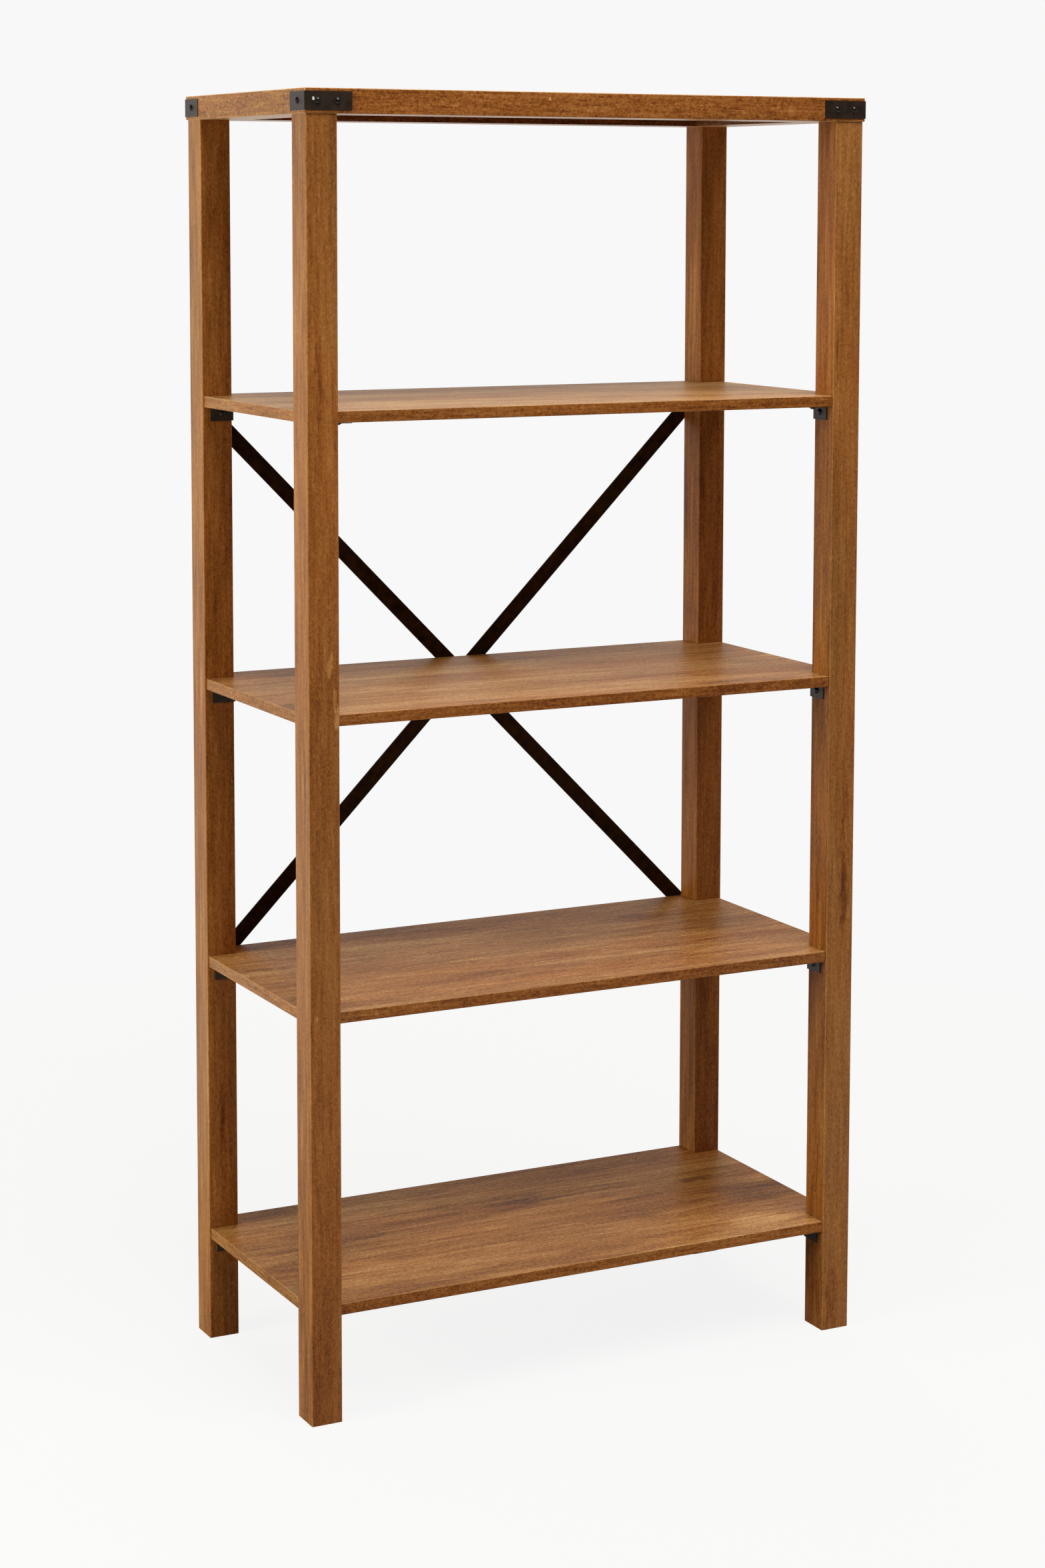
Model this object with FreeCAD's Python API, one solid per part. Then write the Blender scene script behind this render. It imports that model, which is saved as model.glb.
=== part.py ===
import FreeCAD
import Part
import math
import os

# Open bookcase: four posts, a built-up top, four notched shelves on corner brackets, a crossed rear brace.
# Millimetres. X runs along the shelves, Y from front to back, Z up from the floor under the middle.

# Posts
frame_width = 776.0  # over the outer faces of the posts, along X
frame_depth = 383.0  # over the outer faces of the posts, along Y
post_width = 40.0
post_depth = 43.0
post_ease = 1.0  # rounding of the long edges

# Shelves
shelf_count = 4
shelf_thickness = 14.0
shelf_setback = 2.0  # shelf edge behind the outer face of the posts
shelf_notch_gap = 0.5  # play between a notch and its post
shelf_ease = 0.8
lowest_shelf_top = 148.5
bay_height = 351.4  # clear height from each shelf to the board above it

# Top
board_thickness = 18.0
strip_thickness = 12.0  # build-up strips under the rim of the board
strip_width = 65.0
top_overhang = 2.0
top_ease = 1.0

# Dome-headed screws, one kind throughout
dome_radius = 4.5
dome_height = 3.0
screw_shank_radius = 1.75
screw_length = 12.5  # below the head
screw_tip = 3.0
screw_bore_clearance = 0.3
screw_passing_gap = 1.25  # between the two screws that cross inside a post

# Brackets round the corners of the top
plate_sheet = 1.0
plate_height = 22.5
plate_long_leg = 61.5  # along X, from the outer corner
plate_short_leg = 44.0  # along Y, from the outer corner
plate_long_holes = (17.5, 43.0)
plate_short_hole = 22.0

# Brackets under the shelves
bracket_sheet = 1.5
bracket_leg = 31.0  # along the post, sheet of the other leg included
bracket_height = 18.0
bracket_flange = 24.0  # out from the post under the shelf
bracket_screw_drop = 8.0  # leg screw below the shelf

# Brace
bar_width = 20.5
bar_thickness = 2.0
brace_drop_upper = 18.0  # upper end screws below the upper face of the highest shelf
brace_drop_lower = 30.0  # lower end screws below the upper face of the shelf two bays down
joggle_margin = 4.0  # flat of the raised stretch past the bar it steps over
joggle_ramp = 10.0
rivet_radius = 3.0
rivet_head_radius = 6.0
rivet_front_head = 1.4
rivet_rear_head = 2.0
rivet_clearance = 0.3

# Hidden fixings between each post and the top
dowel_radius = 4.0
dowel_clearance = 0.15
dowel_in_post = 18.0
dowel_in_strip = 10.0
dowel_end_gap = 1.0
dowel_insets = (9.0, 22.0)  # from the front face of the post
cam_radius = 7.2
cam_length = 12.5
cam_clearance = 0.3
cam_drop = 34.0  # cam centre below the top of the post
cam_slot_width = 2.0
cam_slot_depth = 2.0
cam_slot_reach = 5.0  # half the length of the cross slot
bolt_inset = 8.0  # bolt axis in from the rear face of the post
bolt_thread_radius = 2.5
bolt_thread_length = 10.0
bolt_neck_radius = 2.2
bolt_collar_radius = 4.0
bolt_collar_height = 1.5
bolt_head_radius = 3.4
bolt_head_height = 3.0

# Places that follow from the sizes above
half_width = frame_width / 2
half_depth = frame_depth / 2
top_half_x = half_width + top_overhang
top_half_y = half_depth + top_overhang
shelf_pitch = bay_height + shelf_thickness
shelf_tops = [lowest_shelf_top + i * shelf_pitch for i in range(shelf_count)]
post_top = shelf_tops[-1] + bay_height
board_bottom = post_top + strip_thickness
height = board_bottom + board_thickness
plate_middle = (post_top + height) / 2
post_centre_x = half_width - post_width / 2
leg_screw_inset = screw_length - bracket_sheet + screw_shank_radius + screw_passing_gap
cam_height = post_top - cam_drop

sides = {"left": -1, "right": 1}
ends = {"front": -1, "rear": 1}
corners = {f"{end}_{side}": (sides[side], ends[end]) for end in ends for side in sides}


def vec(x, y, z):
    return FreeCAD.Vector(x, y, z)


def block(corner, opposite):
    low = [min(a, b) for a, b in zip(corner, opposite)]
    high = [max(a, b) for a, b in zip(corner, opposite)]
    return Part.makeBox(high[0] - low[0], high[1] - low[1], high[2] - low[2], vec(*low))


def rod(radius, length, start, direction):
    return Part.makeCylinder(radius, length, vec(*start), vec(*direction))


def aim(shape, place, direction):
    # turns a shape made along +Z to the given direction and sets it at the given place
    turned = shape.copy()
    turned.Placement = FreeCAD.Placement(vec(*place), FreeCAD.Rotation(vec(0, 0, 1), vec(*direction)))
    return turned


def turned_solid(outline):
    # outline: points (radius, height) from the axis round to the axis; a triple gives the middle of an arc
    edges = []
    here = vec(outline[0][0], 0, outline[0][1])
    for point in outline[1:]:
        there = vec(point[0], 0, point[1])
        if len(point) == 2:
            edges.append(Part.LineSegment(here, there).toShape())
        else:
            edges.append(Part.Arc(here, vec(point[2][0], 0, point[2][1]), there).toShape())
        here = there
    edges.append(Part.LineSegment(here, vec(outline[0][0], 0, outline[0][1])).toShape())
    return Part.Face(Part.Wire(edges)).revolve(vec(0, 0, 0), vec(0, 0, 1), 360)


def cap_middle(radius, rise):
    # point halfway along the arc of a shallow cap, from its rim to its crown
    ball = (radius * radius + rise * rise) / (2 * rise)
    half_angle = math.asin(radius / ball) / 2
    if rise > radius:
        half_angle = (math.pi - math.asin(radius / ball)) / 2
    return ball * math.sin(half_angle), rise - ball + ball * math.cos(half_angle)


def along(edge, axis):
    # true for a straight edge that runs along the axis numbered 0, 1 or 2
    first, last = edge.Vertexes[0].Point, edge.Vertexes[-1].Point
    return all(abs(first[i] - last[i]) < 1e-6 for i in range(3) if i != axis)


def at(edge, axis, value):
    # true for an edge that lies at the given value of an axis from end to end
    return all(abs(vertex.Point[axis] - value) < 1e-6 for vertex in edge.Vertexes)


def ease(solid, radius, wanted):
    return solid.makeFillet(radius, [edge for edge in solid.Edges if wanted(edge)])


def cut_all(solid, tools):
    touching = [tool for tool in tools if solid.BoundBox.intersect(tool.BoundBox)]
    return solid.cut(touching) if touching else solid


# Screws: each site is the seat under the head and the way the shank points

def corner_screw_sites(sx, sy):
    outer_x = top_half_x + plate_sheet
    outer_y = top_half_y + plate_sheet
    sites = []
    for inset in plate_long_holes:
        sites.append(((sx * (outer_x - inset), sy * outer_y, plate_middle), (0, -sy, 0)))
    sites.append(((sx * outer_x, sy * (outer_y - plate_short_hole), plate_middle), (-sx, 0, 0)))
    return sites


def inner_corner(sx, sy):
    return sx * (half_width - post_width), sy * (half_depth - post_depth)


def leg_screw_sites(sx, sy, shelf_top):
    x, y = inner_corner(sx, sy)
    z = shelf_top - shelf_thickness - bracket_screw_drop
    on_x_face = ((x - sx * bracket_sheet, y + sy * leg_screw_inset, z), (sx, 0, 0))
    on_y_face = ((x + sx * leg_screw_inset, y - sy * bracket_sheet, z), (0, sy, 0))
    return [on_x_face, on_y_face]


def flange_screw_site(sx, sy, shelf_top):
    x, y = inner_corner(sx, sy)
    out = (bracket_sheet + bracket_flange) / 2
    along_leg = bracket_leg / 2 - bracket_sheet
    z = shelf_top - shelf_thickness - bracket_sheet
    return (x - sx * out, y + sy * along_leg, z), (0, 0, 1)


def brace_screw_sites():
    y = half_depth + bar_thickness
    levels = (shelf_tops[-1] - brace_drop_upper, shelf_tops[-3] - brace_drop_lower)
    return [((sx * post_centre_x, y, z), (0, -1, 0)) for z in levels for sx in sides.values()]


def dome_screw(site):
    rim = (dome_radius, 0.0)
    crown = (0.0, -dome_height)
    middle_radius, middle_rise = cap_middle(dome_radius, dome_height)
    outline = [
        crown,
        (rim[0], rim[1], (middle_radius, -middle_rise)),
        (screw_shank_radius, 0.0),
        (screw_shank_radius, screw_length - screw_tip),
        (0.0, screw_length),
    ]
    return aim(turned_solid(outline), *site)


def screw_bore(site):
    seat, direction = site
    return rod(screw_shank_radius + screw_bore_clearance, screw_length + screw_bore_clearance, seat, direction)


corner_sites = {name: corner_screw_sites(*signs) for name, signs in corners.items()}
brace_sites = brace_screw_sites()
leg_sites = {}
flange_sites = {}
for corner_name, corner_signs in corners.items():
    for shelf_index, shelf_top_height in enumerate(shelf_tops):
        key = (shelf_index, corner_name)
        leg_sites[key] = leg_screw_sites(*corner_signs, shelf_top_height)
        flange_sites[key] = flange_screw_site(*corner_signs, shelf_top_height)


# Hidden fixings

def dowel_places(sx, sy):
    front = sy * half_depth if sy < 0 else half_depth - post_depth
    return [(sx * post_centre_x, front + inset) for inset in dowel_insets]


def rear_face(sy):
    return half_depth if sy > 0 else post_depth - half_depth


def bolt_place(sx, sy):
    return sx * post_centre_x, rear_face(sy) - bolt_inset


def dowel(place):
    return rod(dowel_radius, dowel_in_post + dowel_in_strip, (*place, post_top - dowel_in_post), (0, 0, 1))


def dowel_bore(place):
    length = dowel_in_post + dowel_in_strip + dowel_end_gap
    return rod(dowel_radius + dowel_clearance, length, (*place, post_top - dowel_in_post), (0, 0, 1))


def cam_bolt(place):
    head_top = cam_height + bolt_head_height / 2 - post_top
    outline = [
        (0.0, bolt_thread_length),
        (bolt_thread_radius, bolt_thread_length),
        (bolt_thread_radius, 0.0),
        (bolt_collar_radius, 0.0),
        (bolt_collar_radius, -bolt_collar_height),
        (bolt_neck_radius, -bolt_collar_height),
        (bolt_neck_radius, head_top),
        (bolt_head_radius, head_top),
        (bolt_head_radius, head_top - bolt_head_height),
        (0.0, head_top - bolt_head_height),
    ]
    return aim(turned_solid(outline), (*place, post_top), (0, 0, 1))


def bolt_thread_bore(place):
    length = bolt_thread_length + cam_clearance
    return rod(bolt_thread_radius + cam_clearance, length, (*place, post_top), (0, 0, 1))


def bolt_passage(place):
    length = cam_drop + bolt_head_height / 2 + cam_clearance
    return rod(bolt_collar_radius + cam_clearance, length, (*place, post_top), (0, 0, -1))


def cam_bore(sx, sy):
    mouth = (sx * post_centre_x, rear_face(sy), cam_height)
    return rod(cam_radius + cam_clearance, cam_length, mouth, (0, -1, 0))


def cam_lock(sx, sy):
    x = sx * post_centre_x
    face = rear_face(sy)
    body = rod(cam_radius, cam_length, (x, face, cam_height), (0, -1, 0))
    slot_bottom = face - cam_slot_depth
    half_slot = cam_slot_width / 2
    tools = [bolt_passage(bolt_place(sx, sy))]
    for reach_x, reach_z in ((cam_slot_reach, half_slot), (half_slot, cam_slot_reach)):
        low = (x - reach_x, slot_bottom, cam_height - reach_z)
        tools.append(block(low, (x + reach_x, face, cam_height + reach_z)))
    return body.cut(tools)


dowel_list = [place for signs in corners.values() for place in dowel_places(*signs)]
bolt_list = [bolt_place(*signs) for signs in corners.values()]


# Wood pieces

def post(name):
    sx, sy = corners[name]
    near = (sx * half_width, sy * half_depth, 0.0)
    far = (*inner_corner(sx, sy), post_top)
    solid = ease(block(near, far), post_ease, lambda edge: along(edge, 2))
    tools = [dowel_bore(place) for place in dowel_places(sx, sy)]
    tools += [bolt_passage(bolt_place(sx, sy)), cam_bore(sx, sy)]
    for index in range(shelf_count):
        tools += [screw_bore(site) for site in leg_sites[(index, name)]]
    tools += [screw_bore(site) for site in brace_sites]
    return cut_all(solid, tools)


def shelf(index):
    top = shelf_tops[index]
    bottom = top - shelf_thickness
    reach_x = half_width - shelf_setback
    reach_y = half_depth - shelf_setback
    solid = block((-reach_x, -reach_y, bottom), (reach_x, reach_y, top))
    notches = []
    for sx, sy in corners.values():
        x, y = inner_corner(sx, sy)
        notch_corner = (x - sx * shelf_notch_gap, y - sy * shelf_notch_gap, bottom)
        notches.append(block(notch_corner, (sx * half_width, sy * half_depth, top)))
    solid = solid.cut(notches)
    rims = [(1, -reach_y), (1, reach_y), (0, -reach_x), (0, reach_x)]
    solid = ease(solid, shelf_ease, lambda edge: not along(edge, 2) and any(at(edge, *rim) for rim in rims))
    return cut_all(solid, [screw_bore(flange_sites[(index, name)]) for name in corners])


top_tools = [screw_bore(site) for sites in corner_sites.values() for site in sites]
top_tools += [dowel_bore(place) for place in dowel_list]
top_tools += [bolt_thread_bore(place) for place in bolt_list]


def top_board():
    solid = block((-top_half_x, -top_half_y, board_bottom), (top_half_x, top_half_y, height))
    solid = ease(solid, top_ease, lambda edge: along(edge, 2) or at(edge, 2, height))
    return cut_all(solid, top_tools)


def long_strip(sy):
    outer = sy * top_half_y
    solid = block((-top_half_x, outer, post_top), (top_half_x, outer - sy * strip_width, board_bottom))

    def rim(edge):
        upright = along(edge, 2) and at(edge, 1, outer)
        end_rim = at(edge, 0, -top_half_x) or at(edge, 0, top_half_x)
        return upright or at(edge, 2, post_top) and (at(edge, 1, outer) or end_rim)

    return cut_all(ease(solid, top_ease, rim), top_tools)


def short_strip(sx):
    outer = sx * top_half_x
    reach_y = top_half_y - strip_width
    solid = block((outer, -reach_y, post_top), (outer - sx * strip_width, reach_y, board_bottom))
    solid = ease(solid, top_ease, lambda edge: at(edge, 0, outer) and at(edge, 2, post_top))
    return cut_all(solid, top_tools)


# Steel pieces

def corner_bracket(name):
    sx, sy = corners[name]
    outer_x = top_half_x + plate_sheet
    outer_y = top_half_y + plate_sheet
    low = plate_middle - plate_height / 2
    high = plate_middle + plate_height / 2
    corner = (sx * outer_x, sy * outer_y, low)
    long_leg = block(corner, (sx * (outer_x - plate_long_leg), sy * top_half_y, high))
    short_leg = block(corner, (sx * top_half_x, sy * (outer_y - plate_short_leg), high))
    solid = long_leg.fuse(short_leg).removeSplitter()
    bend = (sx * outer_x, sy * outer_y)
    solid = ease(solid, plate_sheet, lambda edge: at(edge, 0, bend[0]) and at(edge, 1, bend[1]))
    return cut_all(solid, [screw_bore(site) for site in corner_sites[name]])


def shelf_bracket(index, name):
    sx, sy = corners[name]
    x, y = inner_corner(sx, sy)
    under = shelf_tops[index] - shelf_thickness
    back = bracket_leg - bracket_sheet
    bend = (x - sx * bracket_sheet, y - sy * bracket_sheet, under)
    leg_on_x_face = block(bend, (x, y + sy * back, under - bracket_height))
    leg_on_y_face = block(bend, (x + sx * back, y, under - bracket_height))
    flange_start = (x, y - sy * bracket_sheet, under)
    flange_end = (x - sx * bracket_flange, y + sy * back, under - bracket_sheet)
    solid = leg_on_x_face.fuse([leg_on_y_face, block(flange_start, flange_end)]).removeSplitter()
    sites = leg_sites[(index, name)] + [flange_sites[(index, name)]]
    return cut_all(solid, [screw_bore(site) for site in sites])


brace_low = brace_sites[-1][0][2]
brace_high = brace_sites[0][0][2]
brace_middle = (brace_low + brace_high) / 2
bar_slope = math.atan2((brace_high - brace_low) / 2, post_centre_x)
bar_half_span = math.hypot((brace_high - brace_low) / 2, post_centre_x)


def bar_blank(profile):
    # profile: points (along the bar, behind the posts), drawn out over the bar's width, with half-round ends
    half = bar_width / 2
    points = [vec(s, half_depth + rise, -half) for s, rise in profile]
    strip = Part.Face(Part.makePolygon(points + points[:1])).extrude(vec(0, 0, bar_width))
    depth = 2 * bar_thickness
    start = half_depth
    outline = block((-bar_half_span, start, -half), (bar_half_span, start + depth, half))
    round_ends = [rod(half, depth, (s, start, 0), (0, 1, 0)) for s in (-bar_half_span, bar_half_span)]
    return strip.common(outline.fuse(round_ends).removeSplitter())


def brace_bar(profile, lean):
    bar = bar_blank(profile)
    bar.rotate(vec(0, 0, 0), vec(0, -1, 0), math.degrees(lean))
    bar.translate(vec(0, 0, brace_middle))
    centre_hole = rod(rivet_radius + rivet_clearance, 2 * bar_thickness, (0, half_depth, brace_middle), (0, 1, 0))
    return cut_all(bar, [centre_hole] + [screw_bore(site) for site in brace_sites])


def straight_profile():
    reach = bar_half_span + bar_width / 2
    return [(-reach, 0), (reach, 0), (reach, bar_thickness), (-reach, bar_thickness)]


def joggled_profile():
    # the bar steps over the straight one where they cross
    reach = bar_half_span + bar_width / 2
    crossing = 2 * bar_slope
    overlap = bar_width / 2 * (1 + abs(math.cos(crossing))) / math.sin(crossing)
    flat = overlap + joggle_margin
    foot = flat + joggle_ramp
    front = [(-reach, 0), (-foot, 0), (-flat, bar_thickness), (flat, bar_thickness), (foot, 0), (reach, 0)]
    return front + [(s, rise + bar_thickness) for s, rise in reversed(front)]


def brace_rivet():
    grip = 2 * bar_thickness
    middle_radius, middle_rise = cap_middle(rivet_head_radius, rivet_rear_head)
    outline = [
        (0.0, -rivet_front_head),
        (rivet_head_radius, -rivet_front_head),
        (rivet_head_radius, 0.0),
        (rivet_radius, 0.0),
        (rivet_radius, grip),
        (rivet_head_radius, grip),
        (0.0, grip + rivet_rear_head, (middle_radius, grip + middle_rise)),
    ]
    return aim(turned_solid(outline), (0, half_depth, brace_middle), (0, 1, 0))


def group(solids):
    return Part.makeCompound(solids)


nodes = {}
for corner_name in corners:
    nodes[f"post_{corner_name}"] = post(corner_name)
nodes["top_board"] = top_board()
for end_name, end_sign in ends.items():
    nodes[f"top_strip_{end_name}"] = long_strip(end_sign)
for side_name, side_sign in sides.items():
    nodes[f"top_strip_{side_name}"] = short_strip(side_sign)
for shelf_index in range(shelf_count):
    nodes[f"shelf_{shelf_index + 1}"] = shelf(shelf_index)
for corner_name in corners:
    nodes[f"corner_bracket_{corner_name}"] = corner_bracket(corner_name)
for shelf_index, corner_name in leg_sites:
    nodes[f"shelf_bracket_{shelf_index + 1}_{corner_name}"] = shelf_bracket(shelf_index, corner_name)
nodes["brace_bar_straight"] = brace_bar(straight_profile(), bar_slope)
nodes["brace_bar_joggled"] = brace_bar(joggled_profile(), -bar_slope)
nodes["brace_rivet"] = brace_rivet()
nodes["brace_screws"] = group([dome_screw(site) for site in brace_sites])
nodes["corner_screws"] = group([dome_screw(site) for sites in corner_sites.values() for site in sites])
nodes["leg_screws"] = group([dome_screw(site) for sites in leg_sites.values() for site in sites])
nodes["flange_screws"] = group([dome_screw(site) for site in flange_sites.values()])
nodes["dowels"] = group([dowel(place) for place in dowel_list])
nodes["cam_bolts"] = group([cam_bolt(place) for place in bolt_list])
nodes["cam_locks"] = group([cam_lock(*signs) for signs in corners.values()])

os.makedirs("parts", exist_ok=True)
for node_name, node_shape in nodes.items():
    node_shape.exportStep(f"parts/{node_name}.step")
print(len(nodes), "nodes,", round(2 * top_half_x, 1), "by", round(2 * top_half_y, 1), "by", round(height, 1))
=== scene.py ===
import math

import bpy
from mathutils import Matrix, Vector


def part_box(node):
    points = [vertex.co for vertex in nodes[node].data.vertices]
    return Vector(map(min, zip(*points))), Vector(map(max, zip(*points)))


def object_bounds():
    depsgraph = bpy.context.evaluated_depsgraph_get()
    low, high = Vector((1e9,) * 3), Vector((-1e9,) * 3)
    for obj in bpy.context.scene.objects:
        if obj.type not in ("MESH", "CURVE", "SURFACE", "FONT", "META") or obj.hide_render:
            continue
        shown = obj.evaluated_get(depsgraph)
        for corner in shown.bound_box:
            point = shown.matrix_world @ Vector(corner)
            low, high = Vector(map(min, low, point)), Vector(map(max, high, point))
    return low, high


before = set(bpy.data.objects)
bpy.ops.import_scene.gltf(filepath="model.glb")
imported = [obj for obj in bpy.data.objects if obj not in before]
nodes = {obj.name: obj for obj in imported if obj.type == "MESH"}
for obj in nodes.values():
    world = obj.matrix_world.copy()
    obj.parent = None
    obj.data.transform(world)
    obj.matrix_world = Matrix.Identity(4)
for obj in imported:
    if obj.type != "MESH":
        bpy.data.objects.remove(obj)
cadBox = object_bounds()
bpy.context.scene.view_settings.view_transform = "Standard"
print("frame loaded with", len(nodes), "nodes")


# colours are written as plain 0 to 255 screen values and become linear light here
def tint(rgb):
    levels = [channel / 255 for channel in rgb]
    return tuple(v / 12.92 if v <= 0.04045 else ((v + 0.055) / 1.055) ** 2.4 for v in levels) + (1.0,)


# a socket given as an input is linked, anything else is set as its value
def feed(tree, node, inputs):
    for key, value in inputs.items():
        if isinstance(value, bpy.types.NodeSocket):
            tree.links.new(value, node.inputs[key])
        else:
            node.inputs[key].default_value = value


def addNode(tree, kind, inputs=None, **settings):
    made = tree.nodes.new(kind)
    for name, value in settings.items():
        setattr(made, name, value)
    feed(tree, made, inputs or {})
    return made


def calc(tree, operation, first, second=0.0, clamp=False):
    made = addNode(tree, "ShaderNodeMath", {0: first, 1: second}, operation=operation, use_clamp=clamp)
    return made.outputs[0]


# value times gain plus offset
def scaled(tree, value, gain, offset=0.0):
    made = addNode(tree, "ShaderNodeMath", {0: value, 1: gain, 2: offset}, operation="MULTIPLY_ADD")
    return made.outputs[0]


# low where value is 0, high where it is 1
def between(tree, value, low, high):
    return scaled(tree, value, high - low, low)


# 0 where value is at start, 1 where it is at end, smooth between
def step(tree, value, start, end):
    made = addNode(tree, "ShaderNodeMapRange", {"Value": value, "From Min": start, "From Max": end},
                   interpolation_type="SMOOTHSTEP")
    return made.outputs["Result"]


def vectorCalc(tree, operation, first, second=(0.0, 0.0, 0.0)):
    made = addNode(tree, "ShaderNodeVectorMath", {0: first, 1: second}, operation=operation)
    return made.outputs["Value" if operation == "LENGTH" else "Vector"]


def splitAxes(tree, vector):
    return addNode(tree, "ShaderNodeSeparateXYZ", {0: vector}).outputs


def joinAxes(tree, parts):
    return addNode(tree, "ShaderNodeCombineXYZ", dict(enumerate(parts))).outputs[0]


# spread is how often the noise changes in each direction
def noise(tree, place, spread, detail=2.0, bend=0.0):
    vector = vectorCalc(tree, "MULTIPLY", place, spread)
    made = addNode(tree, "ShaderNodeTexNoise",
                   {"Vector": vector, "Scale": 1.0, "Detail": detail, "Distortion": bend})
    return made.outputs["Fac"]


# the two inputs and the output that the mix node has for each kind of value
mixSockets = {"FLOAT": (2, 3, 0), "VECTOR": (4, 5, 1), "RGBA": (6, 7, 2)}


def blend(tree, kind, share, first, second):
    one, two, out = mixSockets[kind]
    return addNode(tree, "ShaderNodeMix", {0: share, one: first, two: second}, data_type=kind).outputs[out]


def ramp(tree, value, stops):
    made = addNode(tree, "ShaderNodeValToRGB", {"Fac": value})
    band = made.color_ramp
    while len(band.elements) < len(stops):
        band.elements.new(0.5)
    for element, (place, rgb) in zip(band.elements, stops):
        element.position = place
        element.color = tint(rgb)
    return made.outputs["Color"]


def relief(tree, height, depth):
    return addNode(tree, "ShaderNodeBump", {"Height": height, "Distance": depth, "Strength": 1.0}).outputs[0]


def newFinish(name):
    finish = bpy.data.materials.new(name)
    finish.use_nodes = True
    tree = finish.node_tree
    shader = tree.nodes["Principled BSDF"]
    place = addNode(tree, "ShaderNodeTexCoord").outputs["Object"]
    return finish, tree, shader, place


def dress(node, finish):
    for holder in nodes[node].material_slots:
        holder.material = finish


# printed wood: along and across are a layer's changes per metre with and across the grain, bend how much it
# swirls, from and to where its spots begin and are full, and amount how much it pales or darkens
laminate = {
    "warm": [(0.0, (46, 19, 6)), (0.3, (109, 57, 22)), (0.5, (148, 87, 36)), (0.7, (173, 112, 57)),
             (1.0, (207, 157, 98))],
    "grey": [(0.0, (42, 22, 9)), (0.3, (101, 60, 28)), (0.5, (139, 88, 41)), (0.7, (164, 113, 62)),
             (1.0, (198, 156, 104))],
    "wander": {"along": 2.6, "across": 7.0, "detail": 1.0, "reach": 0.011},  # metres to the side
    "zone": {"along": 1.7, "across": 15.0, "detail": 3.0, "amount": 0.42},
    "figure": {"along": 6.0, "across": 46.0, "detail": 4.0, "bend": 1.0, "amount": 0.40},
    "streak": {"along": 9.0, "across": 170.0, "detail": 3.0, "amount": 0.60},
    "mottle": {"along": 170.0, "across": 260.0, "detail": 4.0, "amount": 0.50},
    "fibre": {"along": 26.0, "across": 480.0, "detail": 3.0, "amount": 0.40},
    "speck": {"along": 360.0, "across": 560.0, "detail": 2.0, "amount": 0.46},
    "flecks": {"along": 230.0, "across": 420.0, "detail": 2.0, "from": 0.56, "to": 0.72, "amount": 0.16},
    "ticks": {"along": 105.0, "across": 1000.0, "detail": 1.0, "from": 0.60, "to": 0.72, "amount": 0.17},
    "cracks": {"along": 11.0, "across": 300.0, "detail": 2.0, "from": 0.69, "to": 0.76, "amount": 0.20},
    "rings": {"along": 1.0, "across": 8.0, "detail": 1.0, "count": 11.0, "sharp": 5.0, "amount": 0.10},
    # rings show where plain is high and flecks where it is low
    "plain": {"along": 1.3, "across": 6.0, "detail": 1.0, "rings": (0.40, 0.62), "flecks": (0.56, 0.40)},
    "hue": {"along": 2.0, "across": 14.0, "detail": 2.0, "reach": 1.2},
    "ruffle": {"along": 45.0, "across": 260.0, "detail": 3.0},  # frays the single marks
    "seedShift": (3.17, 1.71, 2.39),  # moves the print on from one seed to the next
    "wideFacing": 0.5,  # how squarely a face looks along an axis to count
    "endFacing": 0.7,
    "endCool": 0.75,
    "endTone": 0.04,
    "roughness": (0.36, 0.50),
    "specular": 0.07,
    "edgeLacquer": 0.5,
    "lacquerRoughness": 0.33,
    "fibreRelief": 0.5,  # as a share of the depth of a tick
    "poreDepth": 0.00005,  # metres
}

# how the faces use the print: base tone, shares of its layers, how grey it leans and how much lacquer shows
prints = {
    "post": {"tone": 0.49, "zone": 1.2, "figure": 0.40, "streak": 0.60, "mottle": 0.58, "speck": 1.0,
             "fibre": 0.70, "flecks": 0.7, "rings": 0.4, "ticks": 0.15, "cool": 0.15, "lacquer": 0.25},
    "side": {"tone": 0.52, "zone": 1.2, "figure": 0.55, "streak": 1.0, "mottle": 0.55, "speck": 0.8,
             "fibre": 0.60, "flecks": 0.0, "rings": 0.2, "ticks": 0.10, "cool": 0.80, "lacquer": 0.25},
    "face": {"tone": 0.65, "zone": 1.6, "figure": 1.5, "streak": 0.75, "mottle": 0.9, "speck": 1.6,
             "fibre": 1.20, "flecks": 0.3, "rings": 0.8, "ticks": 0.80, "cool": 0.85, "lacquer": 0.02},
    "band": {"tone": 0.49, "zone": 0.7, "figure": 0.3, "streak": 0.60, "mottle": 0.95, "speck": 1.3,
             "fibre": 1.1, "flecks": 0.5, "rings": 0.2, "ticks": 0.35, "cool": 0.05, "lacquer": 0.25},
}

# sorts of laminated piece: the axis that the wide faces look along, the prints of the other and the wide
# faces, the first seed of the noise, how deep marks go, and how wide and pale the painted highlight along
# the outer edges is
woodPieces = {
    "post": {"wideAxis": 1, "prints": ("side", "post"), "seed": 1, "markDepth": 0.006,
             "edgeWidth": 0.0016, "edgeHighlight": 0.09},
    "shelf": {"wideAxis": 2, "prints": ("band", "face"), "seed": 11, "markDepth": 0.010,
              "edgeWidth": 0.0012, "edgeHighlight": 0.12},
    "top": {"wideAxis": 2, "prints": ("band", "face"), "seed": 21, "markDepth": 0.003,
            "edgeWidth": 0.0018, "edgeHighlight": 0.42},
}
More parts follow.
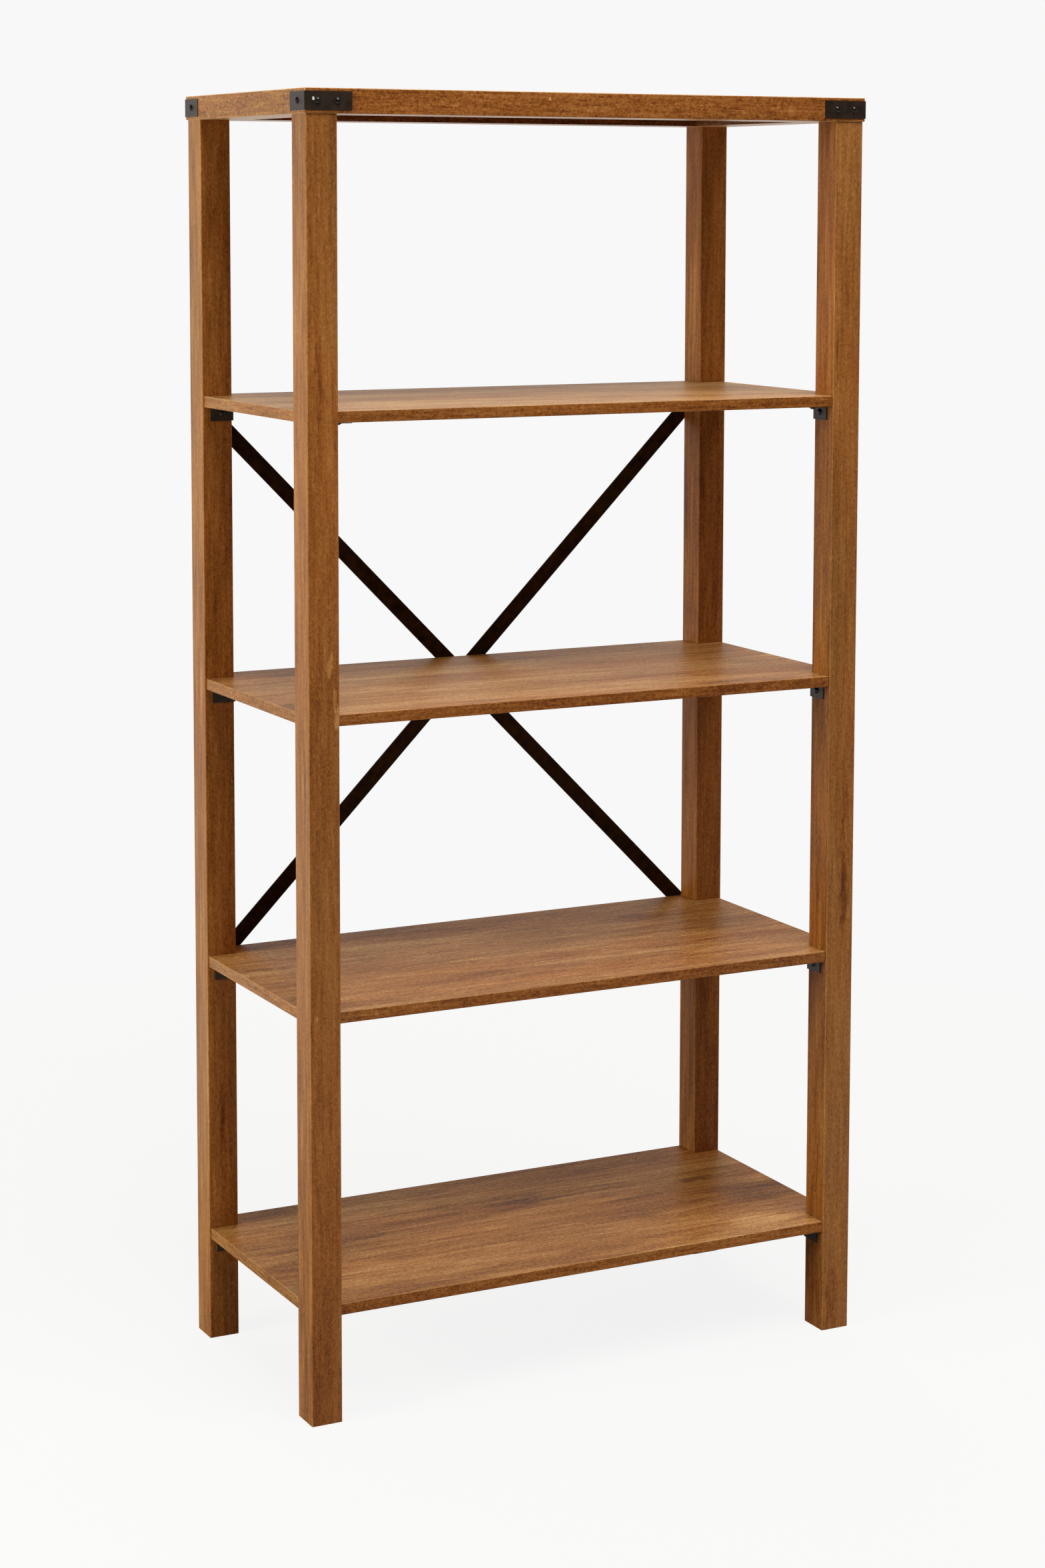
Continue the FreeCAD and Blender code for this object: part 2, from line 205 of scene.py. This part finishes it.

# what single pieces add to their prints, some of it painted light and shade
topBand = {"streak": 0.10, "mottle": 0.25, "speck": 0.30}
# the paler undersides of the strips are a painted reflection seen at a grazing angle
stripShade = {"face": {"tone": 0.30, "cool": -0.40, "lacquer": 0.38}, "band": topBand}
pieceShade = {
    # the darker, warmer sides of the right posts are painted shade, as their inner faces stand between the
    # shelves
    "post_front_right": {"post": {"tone": 0.08, "cool": 0.35},
                         "side": {"tone": -0.07, "cool": -0.40, "lacquer": -0.17}},
    "post_rear_left": {"post": {"tone": -0.03, "cool": -0.20, "lacquer": -0.20}},
    "post_rear_right": {"post": {"tone": -0.01, "cool": -0.35, "lacquer": -0.20},
                        "side": {"tone": -0.04, "zone": -0.75, "cool": -0.40, "lacquer": -0.17}},
    # the faces of the upper shelves are paler, the top one also greyer, as painted light and sheen; the face
    # of the lowest is darker as painted shade
    "shelf_1": {"face": {"tone": -0.03}, "band": {"lacquer": -0.15}},
    "shelf_3": {"face": {"tone": 0.07}},
    "shelf_4": {"face": {"tone": 0.14, "cool": 0.25, "lacquer": 0.05}},
    "top_board": {"band": topBand},
}
strips = sorted(node for node in nodes if node.startswith("top_strip_"))
pieceShade.update({node: stripShade for node in strips})

# single figures of the wood, and one patch of painted shade on the lowest shelf, on the upper face of a shelf
# or on the front of another piece: middle and half size along the two axes of that face, how ragged, and how
# much paler or darker
marks = {
    "post_front_left": [
        {"x": (-0.361, 0.0045), "z": (0.938, 0.022), "ragged": 0.9, "tone": 0.26},
        {"x": (-0.355, 0.0040), "z": (0.902, 0.018), "ragged": 0.9, "tone": 0.22},
        {"x": (-0.351, 0.0035), "z": (0.872, 0.014), "ragged": 0.9, "tone": 0.28},
        {"x": (-0.379, 0.0030), "z": (0.510, 0.006), "ragged": 0.5, "tone": 0.22},
        {"x": (-0.372, 0.0090), "z": (1.285, 0.070), "ragged": 0.8, "tone": -0.13},
    ],
    "post_front_right": [
        {"x": (0.3730, 0.0100), "z": (0.600, 0.095), "ragged": 0.45, "tone": -0.26},
        {"x": (0.3740, 0.0075), "z": (0.710, 0.045), "ragged": 0.50, "tone": -0.16},
        {"x": (0.3535, 0.0024), "z": (1.300, 0.050), "ragged": 0.4, "tone": -0.16},
        {"x": (0.3752, 0.0013), "z": (0.478, 0.015), "ragged": 0.3, "tone": -0.20},
        {"x": (0.3518, 0.0013), "z": (0.088, 0.019), "ragged": 0.3, "tone": -0.20},
        {"x": (0.3620, 0.0120), "z": (0.050, 0.060), "ragged": 0.8, "tone": -0.14},
    ],
    "post_rear_left": [
        {"x": (-0.3776, 0.0032), "z": (1.385, 0.045), "ragged": 0.5, "tone": 0.13},
        {"x": (-0.3550, 0.0028), "z": (1.330, 0.050), "ragged": 0.5, "tone": 0.08},
        {"x": (-0.3750, 0.0065), "z": (1.470, 0.055), "ragged": 0.4, "tone": -0.12},
        {"x": (-0.3680, 0.0070), "z": (0.297, 0.060), "ragged": 0.5, "tone": -0.14},
        {"x": (-0.3810, 0.0022), "z": (0.200, 0.045), "ragged": 0.5, "tone": 0.13},
    ],
    "shelf_1": [
        {"x": (0.300, 0.055), "y": (0.045, 0.012), "ragged": 1.0, "tone": -0.26},
        {"x": (0.322, 0.045), "y": (-0.046, 0.008), "ragged": 0.9, "tone": -0.16},
        {"x": (0.277, 0.056), "y": (-0.147, 0.034), "ragged": 0.25, "tone": 0.16},
        {"x": (0.027, 0.060), "y": (0.068, 0.022), "ragged": 0.8, "tone": -0.15},
        {"x": (-0.200, 0.150), "y": (0.090, 0.004), "ragged": 0.7, "tone": -0.16},
        # painted shade over the rear of the lowest shelf, where the shelf above keeps the light off
        {"x": (0.120, 0.330), "y": (0.140, 0.090), "ragged": 0.3, "tone": -0.16},
    ],
    "shelf_2": [
        {"x": (-0.340, 0.050), "y": (0.048, 0.010), "ragged": 1.0, "tone": -0.24},
        {"x": (-0.212, 0.010), "y": (0.064, 0.006), "ragged": 0.8, "tone": -0.26},
        {"x": (-0.212, 0.006), "y": (0.031, 0.005), "ragged": 0.8, "tone": -0.24},
        {"x": (0.030, 0.120), "y": (0.080, 0.060), "ragged": 0.7, "tone": -0.14},
        {"x": (-0.262, 0.035), "y": (-0.095, 0.0025), "ragged": 0.5, "tone": -0.26},
        {"x": (0.235, 0.060), "y": (0.105, 0.030), "ragged": 1.0, "tone": -0.12},
        {"x": (0.265, 0.085), "y": (0.006, 0.004), "ragged": 0.7, "tone": -0.18},
        {"x": (0.268, 0.040), "y": (0.112, 0.014), "ragged": 0.6, "tone": 0.12},
    ],
    "shelf_3": [
        {"x": (-0.258, 0.006), "y": (-0.067, 0.003), "ragged": 0.6, "tone": -0.28},
        {"x": (0.060, 0.130), "y": (0.070, 0.030), "ragged": 0.9, "tone": -0.10},
        {"x": (-0.150, 0.050), "y": (-0.070, 0.008), "ragged": 0.9, "tone": 0.14},
    ],
    "top_board": [
        {"x": (-0.066, 0.0016), "z": (1.618, 0.0032), "ragged": 0.3, "tone": 0.60},
    ],
}

# a mark grows from its rim to a full core, which is larger in a pale one; ruffle is how far ragged rims stray
markEdge = {"rim": 1.0, "paleCore": 0.55, "darkCore": 0.1, "ruffle": 2.0}

# painted shade: a dark line along the inner edge of a strip under the top, where the recess begins;
# half sizes and tone
recessShadeLine = {"along": 2.0, "across": 0.003, "height": 0.03, "tone": -0.26}


def innerEdgeShade(node, axis):
    low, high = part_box(node)
    side = "y" if axis == "x" else "x"
    inner = min(getattr(low, side), getattr(high, side), key=abs)
    return {axis: (0.0, recessShadeLine["along"]), side: (inner, recessShadeLine["across"]),
            "z": ((low.z + high.z) / 2, recessShadeLine["height"]), "ragged": 0.0, "tone": recessShadeLine["tone"]}


# 1 inside a ragged spot, 0 away from it; an axis that the mark leaves out is the box's front or upper face
def markMask(tree, place, ruffle, mark, box, depth):
    low, high = box
    faces = {"y": (low.y, depth), "z": (high.z, depth)}
    middle, half = zip(*[mark[axis] if axis in mark else faces[axis] for axis in "xyz"])
    moved = vectorCalc(tree, "SUBTRACT", place, middle)
    away = vectorCalc(tree, "LENGTH", vectorCalc(tree, "DIVIDE", moved, half))
    stray = markEdge["ruffle"] * mark["ragged"]
    away = calc(tree, "ADD", away, between(tree, ruffle, -stray, stray))
    core = markEdge["paleCore"] if mark["tone"] > 0 else markEdge["darkCore"]
    return step(tree, away, markEdge["rim"], core)


# of the distances to the nearest face along the three axes, the middle one: small only at a box's edges
def edgeDistance(tree, place, low, high):
    middle = (low + high) / 2
    half = (high - low) / 2
    outward = vectorCalc(tree, "ABSOLUTE", vectorCalc(tree, "SUBTRACT", place, tuple(middle)))
    parts = splitAxes(tree, vectorCalc(tree, "SUBTRACT", tuple(half), outward))
    lesser = calc(tree, "MINIMUM", parts[0], parts[1])
    greater = calc(tree, "MAXIMUM", parts[0], parts[1])
    return calc(tree, "MAXIMUM", lesser, calc(tree, "MINIMUM", greater, parts[2]))


# 1 where this part of the normal is large, to either side
def looksAlong(tree, part, limit):
    return calc(tree, "GREATER_THAN", calc(tree, "ABSOLUTE", part), limit)


# order of the axes that puts the one along the grain first
grainOrder = {"x": (0, 1, 2), "y": (1, 0, 2), "z": (2, 0, 1)}


# place in the piece with the first coordinate along the grain, which wanders a little to the side
def grainPlace(tree, place, axis, onEnd, seed):
    parts = splitAxes(tree, place)
    turned = joinAxes(tree, [parts[k] for k in grainOrder[axis]])
    if axis == "x":
        # the band on the two ends of a board runs along the end
        turned = blend(tree, "VECTOR", onEnd, turned, joinAxes(tree, [parts[k] for k in grainOrder["y"]]))
    shift = tuple(seed * part for part in laminate["seedShift"])
    straight = vectorCalc(tree, "ADD", turned, shift)
    wander = laminate["wander"]
    sway = noise(tree, straight, (wander["along"], wander["across"], wander["across"]), wander["detail"])
    aside = joinAxes(tree, [0.0, between(tree, sway, -wander["reach"], wander["reach"]), 0.0])
    return vectorCalc(tree, "ADD", straight, aside)


# box is what the piece's outer edges belong to, so that seams inside the built-up top stay plain
def laminateFinish(node, axis, seed, box):
    piece = woodPieces[node.split("_")[0]]
    isBoard = axis != "z"
    finish, tree, shader, place = newFinish("laminate_" + node)
    facing = splitAxes(tree, addNode(tree, "ShaderNodeNewGeometry").outputs["True Normal"])
    wide = looksAlong(tree, facing[piece["wideAxis"]], laminate["wideFacing"])
    onEnd = looksAlong(tree, facing[0], laminate["endFacing"]) if isBoard else None
    grain = grainPlace(tree, place, axis, onEnd, seed)

    def layer(name):
        own = laminate[name]
        spread = (own["along"], own["across"], own["across"])
        return noise(tree, grain, spread, own["detail"], own.get("bend", 0.0))

    def spots(name):
        return step(tree, layer(name), laminate[name]["from"], laminate[name]["to"])

    # a share of the print that may differ between the wide faces of a piece and the others
    def share(name):
        own = pieceShade.get(node, {})
        rest, face = (prints[kind][name] + own.get(kind, {}).get(name, 0.0) for kind in piece["prints"])
        return rest if rest == face else between(tree, wide, rest, face)

    fibre = layer("fibre")
    ticks = spots("ticks")
    plain = layer("plain")
    # waves are brought to 0 to 1 and thinned to lines
    waves = calc(tree, "SINE", calc(tree, "MULTIPLY", layer("rings"), laminate["rings"]["count"] * math.tau))
    lines = calc(tree, "POWER", scaled(tree, waves, 0.5, 0.5), laminate["rings"]["sharp"])
    lines = calc(tree, "MULTIPLY", lines, step(tree, plain, *laminate["plain"]["rings"]))
    flecks = calc(tree, "MULTIPLY", spots("flecks"), step(tree, plain, *laminate["plain"]["flecks"]))

    tone = share("tone")
    for name in ("zone", "figure", "streak", "fibre", "mottle", "speck"):
        value = fibre if name == "fibre" else layer(name)
        reach = laminate[name]["amount"] / 2
        tone = scaled(tree, between(tree, value, -reach, reach), share(name), tone)
    tone = scaled(tree, scaled(tree, flecks, laminate["flecks"]["amount"]), share("flecks"), tone)
    # cracks take the share of the rings
    for name, value, part in (("rings", lines, "rings"), ("ticks", ticks, "ticks"),
                              ("cracks", spots("cracks"), "rings")):
        tone = scaled(tree, scaled(tree, value, -laminate[name]["amount"]), share(part), tone)
    # a strip gets a line of painted shade along its inner edge, the other pieces their own marks
    ownMarks = [innerEdgeShade(node, axis)] if node in strips else marks.get(node, [])
    ruffle = layer("ruffle") if ownMarks else None
    for mark in ownMarks:
        mask = markMask(tree, place, ruffle, mark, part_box(node), piece["markDepth"])
        tone = scaled(tree, mask, mark["tone"], tone)

    # a painted highlight pales the outer edges of the piece
    edge = step(tree, edgeDistance(tree, place, *box), piece["edgeWidth"], 0.0)
    lean = share("cool")
    lacquer = share("lacquer")
    if isBoard:
        # only the upper edges of a board get the painted highlight, and lacquer gathers there
        upper = calc(tree, "GREATER_THAN", splitAxes(tree, place)[2], (box[0].z + box[1].z) / 2)
        edge = calc(tree, "MULTIPLY", edge, upper)
        lacquer = scaled(tree, edge, laminate["edgeLacquer"], lacquer)
        # the bands at the two ends of the unit are paler and greyer than the long ones
        lean = scaled(tree, onEnd, laminate["endCool"], lean)
        tone = scaled(tree, onEnd, laminate["endTone"], tone)
    tone = scaled(tree, edge, piece["edgeHighlight"], tone)
    hueReach = laminate["hue"]["reach"]
    cool = calc(tree, "ADD", between(tree, layer("hue"), -hueReach, hueReach), lean, clamp=True)
    height = calc(tree, "SUBTRACT", scaled(tree, fibre, laminate["fibreRelief"]), ticks)
    feed(tree, shader, {
        "Base Color": blend(tree, "RGBA", cool, ramp(tree, tone, laminate["warm"]),
                            ramp(tree, tone, laminate["grey"])),
        "Roughness": between(tree, fibre, *laminate["roughness"]),
        "Specular IOR Level": laminate["specular"],
        "Coat Weight": lacquer,
        "Coat Roughness": laminate["lacquerRoughness"],
        "Normal": relief(tree, height, laminate["poreDepth"]),
    })
    return finish


posts = sorted(node for node in nodes if node.startswith("post_"))
shelves = sorted(node for node in nodes if node.startswith("shelf_") and "bracket" not in node)
topPieces = sorted(node for node in nodes if node.startswith("top_"))
for seed, node in enumerate(posts, woodPieces["post"]["seed"]):
    dress(node, laminateFinish(node, "z", seed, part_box(node)))
for seed, node in enumerate(shelves, woodPieces["shelf"]["seed"]):
    dress(node, laminateFinish(node, "x", seed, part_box(node)))
lows, highs = zip(*[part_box(node) for node in topPieces])
topBox = (Vector(map(min, *lows)), Vector(map(max, *highs)))
for node in topPieces:
    axis = "y" if node in ("top_strip_left", "top_strip_right") else "x"
    dress(node, laminateFinish(node, axis, woodPieces["top"]["seed"], topBox))
print("laminate on", len(posts) + len(shelves) + len(topPieces), "pieces")


# matt black paint, a little browner and paler on the bars and glossier on the brackets
blackSteel = {
    "bracket": {"colour": [(0.3, (27, 16, 8)), (0.7, (46, 31, 18))], "roughness": (0.38, 0.52),
                "specular": 0.45},
    "bar": {"colour": [(0.3, (36, 21, 8)), (0.7, (62, 40, 18))], "roughness": (0.40, 0.55),
            "specular": 0.05},
    "mottle": {"spread": (90.0, 90.0, 90.0), "detail": 3.0},
    "peel": {"spread": (900.0, 900.0, 900.0), "detail": 1.0},
    "peelDepth": 0.00005,
}

# one small white spot on a corner bracket
whiteSpot = {"node": "corner_bracket_front_left", "x": (-0.3795, 0.0019), "z": (1.6135, 0.0027), "depth": 0.004,
        "ragged": 0.15, "tone": 1.0, "ruffle": (700.0, 700.0, 700.0), "colour": (226, 219, 210)}


def steelFinish(name, withSpot=False):
    own = blackSteel[name]
    finish, tree, shader, place = newFinish("black_steel_" + name + ("_chipped" if withSpot else ""))
    mottle = noise(tree, place, **blackSteel["mottle"])
    peel = noise(tree, place, **blackSteel["peel"])
    colour = ramp(tree, mottle, own["colour"])
    if withSpot:
        ruffle = noise(tree, place, whiteSpot["ruffle"])
        spotMask = markMask(tree, place, ruffle, whiteSpot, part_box(whiteSpot["node"]), whiteSpot["depth"])
        colour = blend(tree, "RGBA", spotMask, colour, tint(whiteSpot["colour"]))
    feed(tree, shader, {
        "Base Color": colour,
        "Roughness": between(tree, mottle, *own["roughness"]),
        "Specular IOR Level": own["specular"],
        "Normal": relief(tree, peel, blackSteel["peelDepth"]),
    })
    return finish


bracketSteel = steelFinish("bracket")
spottedSteel = steelFinish("bracket", True)
barSteel = steelFinish("bar")
for node in nodes:
    if "bracket" in node:
        dress(node, spottedSteel if node == whiteSpot["node"] else bracketSteel)
    if node.startswith("brace_bar"):
        dress(node, barSteel)

# small metal and wood fixings share one pattern with their own colours
fixings = {
    "screw_black": {"nodes": ("corner_screws", "leg_screws", "flange_screws", "brace_screws", "brace_rivet"),
                    "colour": [(0.3, (11, 7, 5)), (0.7, (24, 17, 12))], "metallic": 0.0,
                    "roughness": (0.18, 0.28), "specular": 0.40, "grain": (400.0, 400.0, 400.0)},
    "dowel_beech": {"nodes": ("dowels",),
                    "colour": [(0.3, (188, 148, 102)), (0.7, (214, 180, 134))], "metallic": 0.0,
                    "roughness": (0.6, 0.8), "specular": 0.3, "grain": (900.0, 900.0, 60.0)},
    "zinc": {"nodes": ("cam_bolts", "cam_locks"),
             "colour": [(0.3, (118, 118, 116)), (0.7, (150, 150, 148))], "metallic": 1.0,
             "roughness": (0.3, 0.45), "specular": 0.5, "grain": (500.0, 500.0, 500.0)},
}


def fixingFinish(name):
    own = fixings[name]
    finish, tree, shader, place = newFinish(name)
    grain = noise(tree, place, own["grain"])
    feed(tree, shader, {
        "Base Color": ramp(tree, grain, own["colour"]),
        "Roughness": between(tree, grain, *own["roughness"]),
        "Metallic": own["metallic"],
        "Specular IOR Level": own["specular"],
    })
    return finish


for name in fixings:
    fixing = fixingFinish(name)
    for node in fixings[name]["nodes"]:
        dress(node, fixing)
print("steel and fixings dressed")


def cameraRay(tree):
    return addNode(tree, "ShaderNodeLightPath").outputs["Is Camera Ray"]


# 1 for rays that show the background: straight, in gloss or through glass
def seenDirectly(tree):
    rays = addNode(tree, "ShaderNodeLightPath").outputs
    seen = calc(tree, "MAXIMUM", rays["Is Camera Ray"], rays["Is Glossy Ray"])
    return calc(tree, "MAXIMUM", seen, rays["Is Transmission Ray"])


# white where it is seen, but in gloss the room on the camera's side and its ceiling are dim; other rays get a
# little even fill, and from and to are parts of a direction of length 1
studio = {"white": 0.939, "fill": 0.06, "fillTint": (1.0, 0.78, 0.58, 1.0), "plainTint": (1.0, 1.0, 1.0, 1.0),
          "room": 0.05, "roomFrom": -0.75, "roomTo": 0.15, "ceilingFrom": 0.60, "ceilingTo": 0.30}


def makeWorld():
    world = bpy.data.worlds.new("studio")
    bpy.context.scene.world = world
    world.use_nodes = True
    tree = world.node_tree
    direction = splitAxes(tree, addNode(tree, "ShaderNodeTexCoord").outputs["Generated"])
    back = step(tree, direction[1], studio["roomFrom"], studio["roomTo"])
    back = calc(tree, "MULTIPLY", back, step(tree, direction[2], studio["ceilingFrom"], studio["ceilingTo"]))
    bright = calc(tree, "MAXIMUM", back, cameraRay(tree))
    seen = seenDirectly(tree)
    shown = between(tree, bright, studio["room"], studio["white"])
    plain = calc(tree, "MULTIPLY", seen, bright)
    feed(tree, tree.nodes["Background"], {
        "Strength": blend(tree, "FLOAT", seen, studio["fill"], shown),
        "Color": blend(tree, "RGBA", plain, studio["fillTint"], studio["plainTint"]),
    })


# pale floor that fades into the white away from the unit; in gloss it stays paper on the camera's side
floorLook = {"radius": 30.0, "corners": 96, "paper": 0.93, "bounce": 0.4, "near": 0.92, "fadeFrom": 0.6,
             "fadeTo": 2.2, "roomFrom": -2.5, "roomTo": -0.5}


def makeFloor():
    bpy.ops.mesh.primitive_circle_add(vertices=floorLook["corners"], radius=floorLook["radius"],
                                      fill_type="NGON")
    floor = bpy.context.object
    floor.name = "floor"
    finish = bpy.data.materials.new("floor_paper")
    finish.use_nodes = True
    tree = finish.node_tree
    tree.nodes.clear()
    place = addNode(tree, "ShaderNodeTexCoord").outputs["Object"]
    straight = cameraRay(tree)
    back = step(tree, splitAxes(tree, place)[1], floorLook["roomFrom"], floorLook["roomTo"])
    fade = step(tree, vectorCalc(tree, "LENGTH", place), floorLook["fadeFrom"], floorLook["fadeTo"])
    fade = calc(tree, "MULTIPLY", fade, calc(tree, "MAXIMUM", back, straight))
    fade = calc(tree, "MAXIMUM", fade, scaled(tree, straight, floorLook["near"]))
    shade = between(tree, straight, floorLook["bounce"], floorLook["paper"])
    paper = addNode(tree, "ShaderNodeBsdfDiffuse", {"Color": shade}).outputs[0]
    glow = addNode(tree, "ShaderNodeEmission", {"Color": studio["plainTint"], "Strength": studio["white"]})
    share = calc(tree, "MULTIPLY", seenDirectly(tree), fade)
    mixed = addNode(tree, "ShaderNodeMixShader", {0: share, 1: paper, 2: glow.outputs[0]})
    addNode(tree, "ShaderNodeOutputMaterial", {"Surface": mixed.outputs[0]})
    floor.data.materials.append(finish)


# soft boxes, each aimed at the middle of the unit; those without gloss don't show in reflections
softBoxes = {
    "left": {"place": (-4.5, -0.4, 1.9), "power": 190.0, "size": 2.0, "colour": (0.97, 1.06, 0.92),
             "gloss": False},
    "high": {"place": (0.0, -2.4, 5.4), "power": 290.0, "size": 3.6, "colour": (1.0, 0.98, 0.95),
             "gloss": True},
    "behind": {"place": (1.5, 3.4, 4.6), "power": 62.0, "size": 2.0, "colour": (1.0, 0.88, 0.72),
               "gloss": False},
    "right": {"place": (4.6, 0.6, 0.9), "power": 70.0, "size": 2.0, "colour": (1.0, 0.97, 0.93),
              "gloss": False},
    "rear": {"place": (-0.6, 4.6, 1.0), "power": 36.0, "size": 2.0, "colour": (1.0, 0.95, 0.90),
             "gloss": False},
}


def makeLights():
    low, high = cadBox
    aim = (low + high) / 2
    for name, box in softBoxes.items():
        lamp = bpy.data.lights.new(name, "AREA")
        lamp.energy = box["power"]
        lamp.shape = "SQUARE"
        lamp.size = box["size"]
        lamp.color = box["colour"]
        holder = bpy.data.objects.new(name, lamp)
        bpy.context.scene.collection.objects.link(holder)
        holder.location = box["place"]
        holder.visible_glossy = box["gloss"]
        holder.rotation_euler = (aim - holder.location).to_track_quat("-Z", "Y").to_euler()


makeFloor()
makeWorld()
makeLights()
print("floor, background and lights set")

# where the photo's camera stood, in metres and radians; the focal length, the picture's height and the row of
# its optical middle are in pixels of a picture 1568 wide and 2352 tall, and the sensor is in millimetres
photoView = {"place": (-1.8483, -3.6095, 1.4939), "yaw": -0.47244, "pitch": -0.10335, "roll": -0.00194,
             "focal": 4707.3, "tall": 2352.0, "middleRow": 790.0, "sensor": 36.0}


def makeCamera():
    yaw, pitch, roll = (photoView[name] for name in ("yaw", "pitch", "roll"))
    right = Vector((math.cos(yaw), math.sin(yaw), 0.0))
    ahead = Vector((-math.sin(yaw) * math.cos(pitch), math.cos(yaw) * math.cos(pitch), math.sin(pitch)))
    down = ahead.cross(right)
    across = math.cos(roll) * right + math.sin(roll) * down
    below = -math.sin(roll) * right + math.cos(roll) * down
    turn = Matrix((across, -below, -ahead)).transposed()
    lens = bpy.data.cameras.new("camera")
    lens.sensor_width = photoView["sensor"]
    lens.lens = photoView["focal"] / photoView["tall"] * photoView["sensor"]
    lens.shift_y = (photoView["middleRow"] - photoView["tall"] / 2) / photoView["tall"]
    camera = bpy.data.objects.new("camera", lens)
    camera.matrix_world = Matrix.Translation(photoView["place"]) @ turn.to_4x4()
    bpy.context.scene.collection.objects.link(camera)
    bpy.context.scene.camera = camera


makeCamera()
print("camera set")
